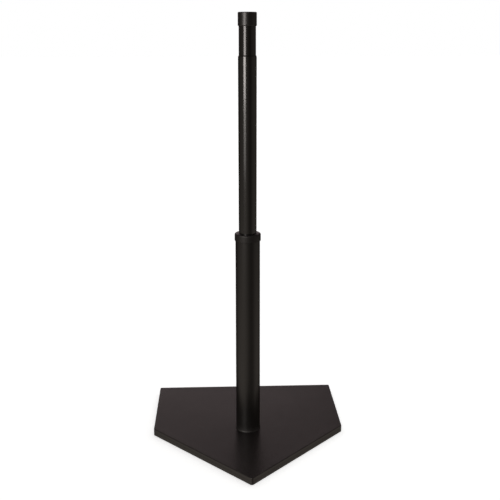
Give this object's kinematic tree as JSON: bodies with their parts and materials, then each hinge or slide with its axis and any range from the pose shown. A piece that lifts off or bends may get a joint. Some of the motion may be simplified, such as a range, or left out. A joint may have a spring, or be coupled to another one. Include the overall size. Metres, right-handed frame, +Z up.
{
  "type": "batting tee",
  "caption": "Batting tee: flat rubber home-plate base, thick rubber lower tube with a grip collar, and telescoping metal tubes topped by a rubber ring that holds the ball.",
  "frame": {"origin": "on the ground on the post's axis, at the middle of the home plate", "axes": "+Z up along the post, -Y towards the plate's tip, +X along the plate's straight back edge"},
  "size_m": [0.4318, 0.4298, 0.93],
  "materials": {
    "plate_rubber": "satin moulded rubber",
    "tube_rubber": "matte moulded rubber",
    "collar_rubber": "satin rubber",
    "rest_rubber": "satin rubber",
    "black_metal": "smooth black coating, semi-gloss",
    "black_plastic": "moulded",
    "nylon": "natural nylon",
    "zinc_steel": "zinc plated"
  },
  "bodies": {
    "base": {"base_plate": "plate_rubber", "base_washer": "zinc_steel", "base_bolt": "zinc_steel", "lock_nut": "zinc_steel", "nut_insert": "nylon", "foot_plug": "black_plastic", "lower_tube": "tube_rubber", "mouth_bush": "black_plastic", "grip_collar": "collar_rubber"},
    "middle_guide": {"middle_guide_ring": "nylon"},
    "middle_stage": {"middle_sleeve": "black_plastic", "middle_tube": "black_metal"},
    "top_guide": {"top_guide_ring": "nylon"},
    "top_stage": {"top_end_plug": "black_plastic", "top_tube": "black_metal", "ball_rest": "rest_rubber"}
  },
  "joints": [
    {"name": "middle_slide", "type": "slide", "parent": "base", "child": "middle_guide", "axis": [0, 0, 1], "range_m": [-0.3685, 0.012]},
    {"name": "middle_turn", "type": "hinge", "parent": "middle_guide", "child": "middle_stage", "pos_m": [0, 0, 0.4255], "axis": [0, 0, 1], "continuous": true},
    {"name": "top_slide", "type": "slide", "parent": "middle_stage", "child": "top_guide", "axis": [0, 0, 1], "range_m": [-0.056, 0.12]},
    {"name": "top_turn", "type": "hinge", "parent": "top_guide", "child": "top_stage", "pos_m": [0, 0, 0.65], "axis": [0, 0, 1], "continuous": true}
  ]
}
